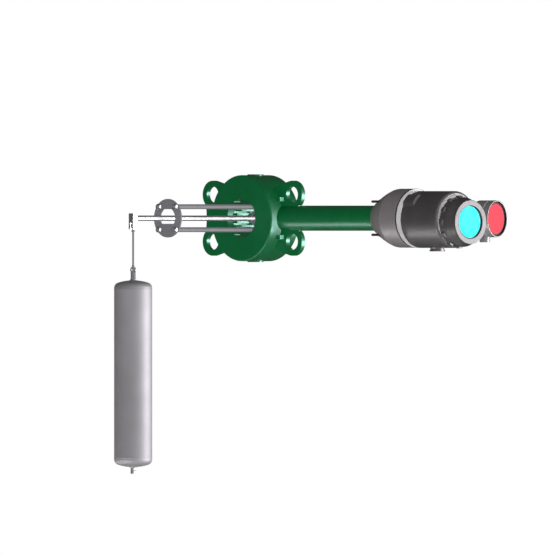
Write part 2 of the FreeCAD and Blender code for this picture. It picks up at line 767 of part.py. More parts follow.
def make_end_block():
    """Square block on the rod's end, slotted from below for the link's eye."""
    half = end_block_size / 2
    body = block(-half, half, upper_pin_y - half, upper_pin_y + half, -end_block_bottom, end_block_top)
    slot_top = upper_pin_z + upper_eye_radius + slot_clearance
    slot = block(-end_slot_width / 2, end_slot_width / 2, upper_pin_y - half, upper_pin_y + half,
                 -end_block_bottom, slot_top)
    cuts = [slot,
            bar(rod_tail_radius + seat_gap, at(0, upper_pin_y + half, 0), at(0, -1, 0),
                end_tail_length + moving_gap),
            bar(upper_pin_radius + running_gap, at(-half, upper_pin_y, upper_pin_z), ALONG_X,
                end_block_size),
            bar(set_screw_radius, at(0, upper_pin_y, 0), ALONG_Z, end_block_top)]
    return body.cut(cuts)


def make_upper_pin():
    """Pin through the end block, headed at both ends."""
    half = end_block_size / 2
    start = at(-half - upper_pin_head, upper_pin_y, upper_pin_z)
    length = end_block_size + 2 * upper_pin_head
    heads = [bar(upper_pin_head_radius, start, ALONG_X, upper_pin_head),
             bar(upper_pin_head_radius, at(half, upper_pin_y, upper_pin_z), ALONG_X, upper_pin_head)]
    return joined([bar(upper_pin_radius, start, ALONG_X, length)] + heads)


def make_hanger_link():
    """Wire link: its upper eye turns about X, its lower eye about Y."""
    collar_top = -end_block_bottom - link_collar_drop
    shank_top = lower_pin_z + lower_shank_length
    half_shank = lower_shank_width / 2
    half_eye = lower_eye_thickness / 2
    solids = [bar(upper_eye_radius, at(-upper_eye_thickness / 2, upper_pin_y, upper_pin_z), ALONG_X,
                  upper_eye_thickness),
              bar(link_radius, at(0, upper_pin_y, upper_pin_z), at(0, 0, -1), upper_pin_z - shank_top + 1),
              bar(link_collar_radius, at(0, upper_pin_y, collar_top), at(0, 0, -1), link_collar_height),
              block(-half_shank, half_shank, upper_pin_y - half_eye, upper_pin_y + half_eye,
                    lower_pin_z, shank_top),
              bar(lower_eye_radius, at(0, upper_pin_y - half_eye, lower_pin_z), ALONG_Y,
                  lower_eye_thickness)]
    cuts = [bar(upper_pin_radius + running_gap, at(-link_length, upper_pin_y, upper_pin_z), ALONG_X,
                2 * link_length),
            bar(lower_pin_radius + running_gap, at(0, upper_pin_y - link_length, lower_pin_z), ALONG_Y,
                2 * link_length)]
    return joined(solids).cut(cuts)


def make_stem():
    """Round stem on the displacer, slotted from above for the link's lower eye."""
    foot = crown_top + weld_boss_rise
    stem = bar(stem_radius, at(0, upper_pin_y, foot), ALONG_Z, stem_top - foot)
    slot_floor = lower_pin_z - lower_eye_radius - slot_clearance
    slot = block(-stem_radius, stem_radius, upper_pin_y - stem_slot_width / 2,
                 upper_pin_y + stem_slot_width / 2, slot_floor, stem_top)
    hole = bar(lower_pin_radius + running_gap, at(0, upper_pin_y - stem_radius, lower_pin_z), ALONG_Y,
               2 * stem_radius)
    return stem.cut([slot, hole])


def make_lower_pin():
    """Pin through the stem, headed at both ends."""
    reach = stem_radius + lower_pin_head
    pin = bar(lower_pin_radius, at(0, upper_pin_y - reach, lower_pin_z), ALONG_Y, 2 * reach)
    heads = [bar(lower_pin_head_radius, at(0, upper_pin_y - reach, lower_pin_z), ALONG_Y, lower_pin_head),
             bar(lower_pin_head_radius, at(0, upper_pin_y + stem_radius, lower_pin_z), ALONG_Y,
                 lower_pin_head)]
    return joined([pin] + heads)


def dished_tank():
    """Closed upright tank with dished ends. The crown's large arc runs tangent into the small
    arc of the knuckle."""
    crown = (((displacer_radius - dish_knuckle) ** 2 + dish_height ** 2 - dish_knuckle ** 2)
             / (2 * (dish_height - dish_knuckle)))
    knuckle_x = displacer_radius - dish_knuckle
    lean = math.atan2(crown - dish_height, knuckle_x)
    rim_z = crown_top - dish_height
    crown_z = crown_top - crown

    def on_knuckle(angle):
        return at(knuckle_x + dish_knuckle * math.cos(angle), 0, rim_z + dish_knuckle * math.sin(angle))

    def on_crown(angle):
        return at(crown * math.cos(angle), 0, crown_z + crown * math.sin(angle))

    upper = [on_knuckle(0), on_knuckle(lean / 2), on_knuckle(lean),
             on_crown((lean + math.pi / 2) / 2), at(0, 0, crown_top)]
    lower = [at(p.x, 0, crown_top + crown_bottom - p.z) for p in upper]
    edges = [Part.Arc(upper[0], upper[1], upper[2]).toShape(),
             Part.Arc(upper[2], upper[3], upper[4]).toShape(),
             Part.makeLine(upper[4], lower[4]),
             Part.Arc(lower[4], lower[3], lower[2]).toShape(),
             Part.Arc(lower[2], lower[1], lower[0]).toShape(),
             Part.makeLine(lower[0], upper[0])]
    tank = Part.Face(Part.Wire(edges)).revolve(at(0, 0, 0), ALONG_Z, 360)
    tank.translate(at(0, upper_pin_y, 0))
    return tank


def make_displacer():
    """Sealed hollow displacer with a flat weld boss on each crown. Inside, its ends are flat
    cones, so that the wall is thickest at the knuckle."""
    rise = weld_boss_rise + dish_knuckle / 2
    outer = joined([dished_tank(),
                    bar(weld_boss_radius, at(0, upper_pin_y, crown_top + weld_boss_rise), at(0, 0, -1), rise),
                    bar(weld_boss_radius, at(0, upper_pin_y, crown_bottom - weld_boss_rise), ALONG_Z, rise)])
    inner_radius = displacer_radius - displacer_wall
    height = dish_height - displacer_wall
    hollow = turned([(crown_bottom + displacer_wall, 0), (crown_bottom + displacer_wall + height, inner_radius),
                     (crown_top - displacer_wall - height, inner_radius), (crown_top - displacer_wall, 0)],
                    at(0, upper_pin_y, 0), ALONG_Z)
    return outer.cut(hollow)


def make_stub():
    """Short stub under the displacer with a cross hole."""
    top = crown_bottom - weld_boss_rise
    stub = bar(stem_radius, at(0, upper_pin_y, top), at(0, 0, -1), stub_length)
    return stub.cut(bar(stub_hole_radius, at(-stem_radius, upper_pin_y, top - stub_length / 2), ALONG_X,
                        2 * stem_radius))


def make_magnet_arm():
    """Arm on the shaft's clamp that carries the forked magnet holder."""
    top = -magnet_drop + holder_half_height
    bottom = -magnet_drop - holder_half_height
    half_arm = magnet_arm_width / 2
    holder_end = holder_start + holder_length
    solids = [bar(clamp_radius, at(clamp_front, 0, 0), ALONG_X, magnet_arm_thickness),
              block(clamp_front, holder_start, -half_arm, half_arm, top - holder_web, 0),
              block(clamp_front + magnet_arm_thickness / 2, holder_end, -holder_half_width,
                    holder_half_width, top - holder_web, top)]
    for side in (1, -1):
        near = side * holder_gap
        far = side * holder_half_width
        solids.append(block(holder_start, holder_end, min(near, far), max(near, far), bottom, top))
    cuts = [bar(shaft_radius + seat_gap, at(clamp_front, 0, 0), ALONG_X, magnet_arm_thickness)]
    for side in (1, -1):
        cuts.append(bar(magnet_radius + running_gap, magnet_face(side), at(0, side, 0), magnet_thickness))
    return joined(solids).cut(cuts)


def magnet_face(side):
    """Middle of a magnet's inner face."""
    return at(holder_start + holder_length / 2, side * holder_gap, -magnet_drop)


def make_seal():
    """Square seal ring in the spigot's groove, level with the spigot."""
    return tube(spigot_radius, spigot_radius - seal_thickness,
                on_display(housing_end + seal_station - seal_thickness / 2), ALONG_X, seal_thickness)


pieces = {
    "wafer_body": make_wafer_body(),
    "tap_plug_top": make_tap_plug(1),
    "tap_plug_bottom": make_tap_plug(-1),
    "torque_tube_arm": tube(arm_radius, arm_bore_radius, at(arm_seat, 0, 0), ALONG_X, arm_reach - arm_seat),
    "tube_gasket": tube(arm_radius, arm_bore_radius, at(arm_reach, 0, 0), ALONG_X, tube_gasket_thickness),
    "torque_tube": make_torque_tube(),
    "tube_retainer": make_retainer(),
    "bearing_bracket": make_bearing_bracket(),
    "driver_bearing": tube(bearing_radius, journal_radius + running_gap, at(-inner_cheek_reach, 0, 0),
                           at(-1, 0, 0), bearing_length),
    "cage_ring": make_cage_ring(),
    "cage_end_plate": make_end_plate(),
    "rod_driver": make_driver(),
    "displacer_rod": make_displacer_rod(),
    "rod_end_block": make_end_block(),
    "upper_pin": make_upper_pin(),
    "rotary_shaft": bar(shaft_radius, at(driver_front - shaft_seat_depth, 0, 0), ALONG_X,
                        shaft_tip - driver_front + shaft_seat_depth),
    "magnet_arm": make_magnet_arm(),
    "hanger_link": make_hanger_link(),
    "displacer_stem": make_stem(),
    "lower_pin": make_lower_pin(),
    "displacer": make_displacer(),
    "displacer_stub": make_stub(),
    "mounting_adapter": make_adapter(),
    "adapter_gasket": tube(adapter_radius, cavity_radius, at(barrel_end, 0, 0), ALONG_X, gasket_thickness),
    "main_housing": make_main_housing(),
    "access_plug": make_access_plug(),
    "electronics_module": bar(module_radius, on_display(housing_inside), ALONG_X, module_length),
    "display_module": bar(display_radius, on_display(housing_inside + module_length), ALONG_X,
                          glass_back - lcd_gap - housing_inside - module_length),
    "display_cover": make_display_cover(),
    "display_glass": bar(glass_radius, on_display(glass_back), ALONG_X, glass_thickness),
    "glass_ring": tube(glass_radius, display_radius + lcd_gap, on_display(glass_back - glass_ring_thickness),
                       ALONG_X, glass_ring_thickness),
    "cover_seal": make_seal(),
    "terminal_box": make_terminal_box(),
    "terminal_block": make_terminal_block(),
    "terminal_screws": make_terminal_screws(),
    "terminal_cover": make_terminal_cover(),
    "red_disc": bar(red_disc_radius, on_terminal(terminal_recess - red_disc_thickness), terminal_back,
                    red_disc_thickness),
}

# Screws, nuts and studs
pieces["bracket_screws"] = group([
    socket_screw(at(bracket_face - screw_head_height, y, z), at(-1, 0, 0), screw_radius,
                 bracket_base_thickness - screw_head_height + bracket_screw_bite - moving_gap)
    for y, z in bracket_screw_places])
pieces["retainer_screws"] = group(around(
    socket_screw(at(retainer_end, retainer_screw_circle_radius, 0), at(-1, 0, 0), screw_radius,
                 retainer_thickness + retainer_screw_bite - moving_gap),
    at(0, 0, 0), ALONG_X, screw_turns))
pieces["cage_ring_screws"] = group(around(
    socket_screw(at(cage_screw_circle_radius, ring_back, 0), at(0, -1, 0), cage_screw_radius,
                 cage_ring_thickness + cage_screw_bite - moving_gap),
    at(0, 0, 0), ALONG_Y, screw_turns))
for number, (x, z) in enumerate(cage_corners, 1):
    pieces["cage_rod_%d" % number] = make_cage_rod(x, z)
pieces["cage_ring_nuts"] = group([nut(nut_flats, cage_tail_radius, at(x, ring_back, z), ALONG_Y,
                                      nut_thickness) for x, z in cage_corners])
pieces["cage_end_nuts"] = group([nut(nut_flats, cage_tail_radius, at(x, plate_front, z), at(0, -1, 0),
                                     nut_thickness) for x, z in cage_corners])
pieces["adapter_studs"] = group([bar(stud_radius, at(nose + stud_start, y, z), ALONG_X, stud_length)
                                 for y in (stud_spread, -stud_spread) for z in (stud_spread, -stud_spread)])
pieces["adapter_nuts"] = group([nut(stud_nut_flats, stud_radius, at(nose + stud_seat, y, z), at(-1, 0, 0),
                                    stud_nut_thickness)
                                for y in (stud_spread, -stud_spread) for z in (stud_spread, -stud_spread)])
pieces["rod_set_screw"] = set_screw(at(0, -driver_boss_reach + 2 * set_screw_radius, rod_tail_radius
                                       + running_gap), ALONG_Z, driver_boss_radius - rod_tail_radius)
pieces["rod_end_screw"] = set_screw(at(0, upper_pin_y, rod_tail_radius + running_gap), ALONG_Z,
                                    end_block_top - rod_tail_radius)
pieces["shaft_clamp"] = tube(clamp_radius, shaft_radius + running_gap, at(clamp_front - clamp_length, 0, 0),
                             ALONG_X, clamp_length).cut(
    bar(clamp_screw_radius + running_gap, at(clamp_front - clamp_length / 2, 0, 0), ALONG_Z, clamp_radius))
pieces["clamp_screw"] = socket_screw(at(clamp_front - clamp_length / 2, 0, clamp_radius), at(0, 0, -1),
                                     clamp_screw_radius, clamp_screw_length)
pieces["magnets"] = group([bar(magnet_radius, magnet_face(side), at(0, side, 0), magnet_thickness)
                           for side in (1, -1)])
pieces["sensor_probe"] = bar(probe_radius, at(holder_start + probe_clearance, 0, -magnet_drop), ALONG_X,
                             housing_inside - holder_start - probe_clearance)

for name, shape in pieces.items():
    shape.exportStep("parts/%s.step" % name)
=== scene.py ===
"""Looks of a displacer level sensor: green cast wafer body and arm, grey stainless rods and displacer,
dark painted instrument head with a lit display and a red disc on its terminal box."""

import bmesh
import bpy
import json
import math
import numpy as np
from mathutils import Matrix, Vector


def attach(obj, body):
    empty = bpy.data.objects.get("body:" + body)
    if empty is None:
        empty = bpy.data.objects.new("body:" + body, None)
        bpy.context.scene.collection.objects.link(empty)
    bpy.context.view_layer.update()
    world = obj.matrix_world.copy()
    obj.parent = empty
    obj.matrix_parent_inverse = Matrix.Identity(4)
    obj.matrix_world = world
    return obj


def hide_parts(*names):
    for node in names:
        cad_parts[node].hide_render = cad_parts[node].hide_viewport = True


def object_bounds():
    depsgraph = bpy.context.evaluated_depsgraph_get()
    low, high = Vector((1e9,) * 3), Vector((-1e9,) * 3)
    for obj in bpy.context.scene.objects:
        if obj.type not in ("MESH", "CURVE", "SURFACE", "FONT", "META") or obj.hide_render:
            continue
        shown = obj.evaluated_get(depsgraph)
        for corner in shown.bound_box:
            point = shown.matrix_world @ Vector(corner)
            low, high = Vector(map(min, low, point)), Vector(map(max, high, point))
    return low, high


MM = 0.001                              # the shapes below are worked out in millimetres

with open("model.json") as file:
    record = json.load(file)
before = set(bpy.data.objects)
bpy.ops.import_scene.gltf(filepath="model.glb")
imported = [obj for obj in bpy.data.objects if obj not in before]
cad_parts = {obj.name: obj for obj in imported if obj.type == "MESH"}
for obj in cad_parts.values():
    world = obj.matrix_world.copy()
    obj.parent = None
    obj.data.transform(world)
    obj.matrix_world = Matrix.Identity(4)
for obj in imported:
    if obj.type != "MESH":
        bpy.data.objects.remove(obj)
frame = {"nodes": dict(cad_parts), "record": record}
cad_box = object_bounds()
nodes = frame["nodes"]


def linear(red, green, blue):
    """Colour as seen on a screen, 0 to 255, to the linear values that shaders take: each
    channel is raised to the power 2.4 after the usual offset."""
    def one(value):
        value /= 255
        return value / 12.92 if value <= 0.04045 else ((value + 0.055) / 1.055) ** 2.4
    return (one(red), one(green), one(blue), 1.0)


# Shader node groups

FLOAT_A, FLOAT_B = 2, 3                 # a Mix node's sockets by number, because they share names
COLOUR_A, COLOUR_B, COLOUR_OUT = 6, 7, 2


def new_group(name, inputs, outputs):
    """Empty node group with named sockets. Inputs and outputs are (name, kind, value)."""
    group = bpy.data.node_groups.new(name, "ShaderNodeTree")
    for label, kind, value in inputs:
        socket = group.interface.new_socket(label, in_out="INPUT", socket_type=kind)
        if value is not None:
            socket.default_value = value
    for label, kind in outputs:
        group.interface.new_socket(label, in_out="OUTPUT", socket_type=kind)
    entry = group.nodes.new("NodeGroupInput")
    exit_node = group.nodes.new("NodeGroupOutput")
    return group, entry, exit_node


def add(tree, kind, **settings):
    """New node with its settings and its unlinked inputs filled in by name or number."""
    node = tree.nodes.new(kind)
    for key, value in settings.items():
        if key == "inputs":
            for slot, given in value.items():
                node.inputs[slot].default_value = given
        else:
            setattr(node, key, value)
    return node


def link(tree, source, target):
    """Joins an output socket to an input socket."""
    tree.links.new(source, target)


def make_grain_group():
    """Cast or sprayed skin: fine noise on broad noise. Height feeds a bump, Shade runs from 0
    to 1 for small changes of colour and roughness."""
    group, entry, out = new_group(
        "skin_grain",
        [("Vector", "NodeSocketVector", None), ("Fine", "NodeSocketFloat", 900.0),
         ("Broad", "NodeSocketFloat", 40.0), ("Share", "NodeSocketFloat", 0.5)],
        [("Height", "NodeSocketFloat"), ("Shade", "NodeSocketFloat")])
    fine = add(group, "ShaderNodeTexNoise", inputs={"Detail": 3.0, "Roughness": 0.6})
    broad = add(group, "ShaderNodeTexNoise", inputs={"Detail": 4.0, "Roughness": 0.55})
    mix = add(group, "ShaderNodeMix", data_type="FLOAT")
    for noise, scale in ((fine, "Fine"), (broad, "Broad")):
        link(group, entry.outputs["Vector"], noise.inputs["Vector"])
        link(group, entry.outputs[scale], noise.inputs["Scale"])
    link(group, entry.outputs["Share"], mix.inputs[0])
    link(group, fine.outputs["Fac"], mix.inputs[FLOAT_A])
    link(group, broad.outputs["Fac"], mix.inputs[FLOAT_B])
    link(group, mix.outputs[0], out.inputs["Height"])
    link(group, broad.outputs["Fac"], out.inputs["Shade"])
    return group


def make_streak_group():
    """Machining or brushing marks: noise squeezed along one direction by the Stretch vector."""
    group, entry, out = new_group(
        "tool_streaks",
        [("Vector", "NodeSocketVector", None), ("Stretch", "NodeSocketVector", (1.0, 1.0, 1.0)),
         ("Scale", "NodeSocketFloat", 400.0)],
        [("Height", "NodeSocketFloat"), ("Shade", "NodeSocketFloat")])
    stretch = add(group, "ShaderNodeVectorMath", operation="MULTIPLY")
    marks = add(group, "ShaderNodeTexNoise", inputs={"Detail": 2.0, "Roughness": 0.7})
    cloud = add(group, "ShaderNodeTexNoise", inputs={"Scale": 18.0, "Detail": 3.0})
    link(group, entry.outputs["Vector"], stretch.inputs[0])
    link(group, entry.outputs["Stretch"], stretch.inputs[1])
    link(group, stretch.outputs["Vector"], marks.inputs["Vector"])
    link(group, entry.outputs["Scale"], marks.inputs["Scale"])
    link(group, entry.outputs["Vector"], cloud.inputs["Vector"])
    link(group, marks.outputs["Fac"], out.inputs["Height"])
    link(group, cloud.outputs["Fac"], out.inputs["Shade"])
    return group


skin_grain = make_grain_group()
tool_streaks = make_streak_group()


# Surfaces worked out on a grid

def grid_mesh(name, points):
    """Mesh of four-sided faces from a rows x columns grid of points."""
    rows, columns = points.shape[:2]
    row, column = np.meshgrid(np.arange(rows - 1), np.arange(columns - 1), indexing="ij")
    first = row * columns + column
    faces = np.stack([first, first + 1, first + columns + 1, first + columns], axis=-1).reshape(-1, 4)
    mesh = bpy.data.meshes.new(name)
    mesh.from_pydata(points.reshape(-1, 3).tolist(), [], faces.tolist())
    return mesh


def closed_object(name, points, crease=35.0):
    """Object from a grid whose seam and poles meet: doubled points become one, normals turn
    outwards, and edges sharper than the crease angle stay sharp."""
    mesh = grid_mesh(name, points)
    work = bmesh.new()
    work.from_mesh(mesh)
    bmesh.ops.remove_doubles(work, verts=work.verts, dist=1e-6)
    bmesh.ops.recalc_face_normals(work, faces=work.faces)
    work.to_mesh(mesh)
    work.free()
    mesh.shade_smooth()
    mesh.set_sharp_from_angle(angle=math.radians(crease))
    piece = bpy.data.objects.new(name, mesh)
    bpy.context.scene.collection.objects.link(piece)
    return piece


def softened(corners, radius, steps=4):
    """Outline whose corners, all but its two ends, are eased: each gives way to a quadratic curve
    from a point before it to a point after it, at most the radius away. A further point just
    outside each end of the curve keeps the flat faces flat."""
    points = [np.array(corners[0], float)]
    for before, corner, after in zip(corners, corners[1:], corners[2:]):
        before, corner, after = (np.array(point, float) for point in (before, corner, after))
        reach_in = min(radius, np.linalg.norm(corner - before) * 0.45)
        reach_out = min(radius, np.linalg.norm(after - corner) * 0.45)
        start = corner + (before - corner) / np.linalg.norm(before - corner) * reach_in
        end = corner + (after - corner) / np.linalg.norm(after - corner) * reach_out
        points.append(start + (before - start) * min(0.1, 0.3 / np.linalg.norm(before - start)))
        for t in np.linspace(0, 1, steps + 1):
            points.append((1 - t) ** 2 * start + 2 * t * (1 - t) * corner + t ** 2 * end)
        points.append(end + (after - end) * min(0.1, 0.3 / np.linalg.norm(after - end)))
    points.append(np.array(corners[-1], float))
    return np.array(points)


def curve(stations, radii):
    """Part of an outline, from its stations and the radius at each or at all of them."""
    return np.stack(np.broadcast_arrays(stations, radii), axis=-1)


def subdivided(outline, step):
    """Outline whose long stretches are cut into equal parts, each one to two steps long."""
    points = [outline[0]]
    for before, after in zip(outline, outline[1:]):
        count = max(1, int(np.linalg.norm(after - before) / step))
        points += [before + (after - before) * (i + 1) / count for i in range(count)]
    return points


def axes_along(direction):
    """Unit direction and two unit vectors square to it."""
    along = np.array(direction, float)
    along = along / np.linalg.norm(along)
    up = np.array((0.0, 0.0, 1.0)) if abs(along[2]) < 0.9 else np.array((1.0, 0.0, 0.0))
    side = np.cross(up, along)
    side = side / np.linalg.norm(side)
    return along, side, np.cross(along, side)


def lathe(name, outline, start, direction, columns=144, swell=None):
    """Turned surface: a point of the outline (s, r) at the angle a goes to start + s times the
    direction + r times (cos a, sin a) across it. Swell(s, r, a) adds to r."""
    along, side, lift = axes_along(direction)
    outline = np.array(outline, float)
    angle = np.linspace(0, 2 * np.pi, columns + 1)
    angle[-1] = 0.0
    station = np.repeat(outline[:, :1], columns + 1, axis=1)
    radius = np.repeat(outline[:, 1:], columns + 1, axis=1)
    turn = np.repeat(angle[None, :], len(outline), axis=0)
    if swell is not None:
        radius = radius + swell(station, radius, turn)
    points = (np.array(start, float) + station[..., None] * along
              + (radius * np.cos(turn))[..., None] * side + (radius * np.sin(turn))[..., None] * lift)
    return closed_object(name, points * MM)


def threaded(name, places, direction, length, radius, pitch, depth):
    """Threaded bars: the radius at the distance s and the angle a is the root's plus the depth
    times a triangle wave of s / pitch - a / full turn, and fades to the root at both ends."""
    columns, rows_per_turn = 20, 6
    along, side, lift = axes_along(direction)
    rows = int(length / pitch * rows_per_turn)
    station = np.linspace(0, length, rows)[:, None]
    turn = np.linspace(0, 2 * np.pi, columns + 1)[None, :]
    phase = (station / pitch - turn / (2 * np.pi)) % 1.0
    ends = np.clip(np.minimum(station, length - station) / pitch, 0, 1)
    ring = radius - depth + depth * np.abs(2 * phase - 1) * ends
    ring = np.vstack([np.zeros((1, columns + 1)), ring, np.zeros((1, columns + 1))])
    station = np.vstack([station[:1], station, station[-1:]])
    bars = []
    for place in places:
        points = (np.array(place, float) + station[..., None] * along
                  + (ring * np.cos(turn))[..., None] * side + (ring * np.sin(turn))[..., None] * lift)
        points[:, -1] = points[:, 0]
        bars.append(closed_object(name, points * MM, crease=80.0))
    return merged(name, bars)


def merged(name, parts):
    """One object with the meshes of several, which are removed."""
    work = bmesh.new()
    for part in parts:
        work.from_mesh(part.data)
    mesh = bpy.data.meshes.new(name)
    work.to_mesh(mesh)
    work.free()
    for part in parts:
        bpy.data.objects.remove(part)
    piece = bpy.data.objects.new(name, mesh)
    bpy.context.scene.collection.objects.link(piece)
    return piece


def cut_away(piece, cutter):
    """Takes the cutter's shape out of the piece for good."""
    tool = piece.modifiers.new("cut", "BOOLEAN")
    tool.operation = "DIFFERENCE"
    tool.solver = "EXACT"
    tool.object = cutter
    bpy.context.view_layer.update()
    result = bpy.data.meshes.new_from_object(piece.evaluated_get(bpy.context.evaluated_depsgraph_get()))
    piece.modifiers.clear()
    piece.data = result
    bpy.data.objects.remove(cutter)
    result.set_sharp_from_angle(angle=math.radians(35.0))


# Materials

def new_material(name, metallic=0.0, roughness=0.4, coat=0.0, specular=0.5, tint=(1.0, 1.0, 1.0, 1.0)):
    """Material with a Principled shader whose constants are set on its own sockets, and
    Object coordinates through a Mapping node. The roughness holds where nothing is linked to it."""
    material = bpy.data.materials.new(name)
    material.use_nodes = True
    tree = material.node_tree
    shader = tree.nodes["Principled BSDF"]
    shader.inputs["Metallic"].default_value = metallic
    shader.inputs["Roughness"].default_value = roughness
    shader.inputs["Coat Weight"].default_value = coat
    shader.inputs["Coat Roughness"].default_value = 0.4
    shader.inputs["Specular IOR Level"].default_value = specular
    shader.inputs["Specular Tint"].default_value = tint
    coordinates = tree.nodes.new("ShaderNodeTexCoord")
    mapping = tree.nodes.new("ShaderNodeMapping")
    link(tree, coordinates.outputs["Object"], mapping.inputs["Vector"])
    return material, tree, shader, mapping


def shade_colour(tree, shader, factor, dark, light):
    """Base colour that runs from dark to light over the middle of the factor's range."""
    spread = add(tree, "ShaderNodeMapRange", inputs={"From Min": 0.35, "From Max": 0.65})
    mix = add(tree, "ShaderNodeMix", data_type="RGBA")
    mix.inputs[COLOUR_A].default_value = dark
    mix.inputs[COLOUR_B].default_value = light
    link(tree, factor, spread.inputs[0])
    link(tree, spread.outputs[0], mix.inputs[0])
    link(tree, mix.outputs[COLOUR_OUT], shader.inputs["Base Color"])


def shade_roughness(tree, shader, factor, low, high):
    """Roughness that wanders between two values with the factor."""
    spread = add(tree, "ShaderNodeMapRange",
                 inputs={"From Min": 0.3, "From Max": 0.7, "To Min": low, "To Max": high})
    link(tree, factor, spread.inputs[0])
    link(tree, spread.outputs[0], shader.inputs["Roughness"])


def raise_bump(tree, shader, height, strength, distance):
    """Bump from a height, at most the distance deep, in metres."""
    bump = add(tree, "ShaderNodeBump", inputs={"Strength": strength, "Distance": distance})
    link(tree, height, bump.inputs["Height"])
    link(tree, bump.outputs["Normal"], shader.inputs["Normal"])


def dull_behind(tree, shader, roughness):
    """The faces towards +Y, where the gasket and the nuts bear, are duller: where the normal's Y
    part is near 1 the roughness goes up to the given value."""
    source = shader.inputs["Roughness"].links[0].from_socket
    coordinates = tree.nodes.new("ShaderNodeTexCoord")
    parts = tree.nodes.new("ShaderNodeSeparateXYZ")
    mask = add(tree, "ShaderNodeMapRange", inputs={"From Min": 0.97, "From Max": 0.995})
    mix = add(tree, "ShaderNodeMix", data_type="FLOAT")
    link(tree, coordinates.outputs["Normal"], parts.inputs[0])
    link(tree, parts.outputs["Y"], mask.inputs[0])
    link(tree, mask.outputs[0], mix.inputs[0])
    link(tree, source, mix.inputs[FLOAT_A])
    mix.inputs[FLOAT_B].default_value = roughness
    link(tree, mix.outputs[0], shader.inputs["Roughness"])


def painted(name, dark, light, roughness, fine=900.0, depth=0.0001, **shine):
    """Sprayed paint on a casting, or moulded plastic: small changes of colour and gloss over a
    fine skin, whose grains lie about 1 / fine metres apart."""
    material, tree, shader, mapping = new_material(name, **shine)
    grain = add(tree, "ShaderNodeGroup", node_tree=skin_grain, inputs={"Fine": fine})
    link(tree, mapping.outputs["Vector"], grain.inputs["Vector"])
    shade_colour(tree, shader, grain.outputs["Shade"], dark, light)
    shade_roughness(tree, shader, grain.outputs["Shade"], *roughness)
    raise_bump(tree, shader, grain.outputs["Height"], 0.25, depth)
    return material


def machined(name, dark, light, stretch, roughness, scale=400.0, strength=0.12, **shine):
    """Bare metal with tool marks, which the stretch squeezes or draws out along each axis."""
    material, tree, shader, mapping = new_material(name, **shine)
    streaks = add(tree, "ShaderNodeGroup", node_tree=tool_streaks,
                  inputs={"Stretch": stretch, "Scale": scale})
    link(tree, mapping.outputs["Vector"], streaks.inputs["Vector"])
    shade_colour(tree, shader, streaks.outputs["Shade"], dark, light)
    shade_roughness(tree, shader, streaks.outputs["Height"], *roughness)
    raise_bump(tree, shader, streaks.outputs["Height"], strength, 0.0002)
    return material


def lit_panel(name, dark, light, glow):
    """Panel that glows evenly, with a faint mottle: the display's own light, or painted light on the red
    disc.
    """
    material, tree, shader, mapping = new_material(name, roughness=0.6, specular=0.05)
    mottle = add(tree, "ShaderNodeTexNoise", inputs={"Scale": 260.0, "Detail": 2.0})
    link(tree, mapping.outputs["Vector"], mottle.inputs["Vector"])
    shade_colour(tree, shader, mottle.outputs["Fac"], dark, light)
    link(tree, shader.inputs["Base Color"].links[0].from_socket, shader.inputs["Emission Color"])
    shader.inputs["Emission Strength"].default_value = glow
    return material


def clear_glass(name):
    """Clear pane with a low sheen, a little smeared."""
    material, tree, shader, mapping = new_material(name)
    shader.inputs["Transmission Weight"].default_value = 1.0
    shader.inputs["IOR"].default_value = 1.06
    smear = add(tree, "ShaderNodeTexNoise", inputs={"Scale": 30.0, "Detail": 2.0})
    link(tree, mapping.outputs["Vector"], smear.inputs["Vector"])
    shade_roughness(tree, shader, smear.outputs["Fac"], 0.0, 0.05)
    return material


ROUND_Z = (1.0, 1.0, 12.0)              # turning marks round an upright axis
ALONG_X = (0.05, 1.0, 1.0)              # marks drawn out along X
ALONG_Y = (1.0, 0.05, 1.0)
EVEN = (1.0, 1.0, 1.0)

HEAD_COLOURS = (linear(56, 54, 55), linear(60, 58, 59))
SATIN = (0.36, 0.42)

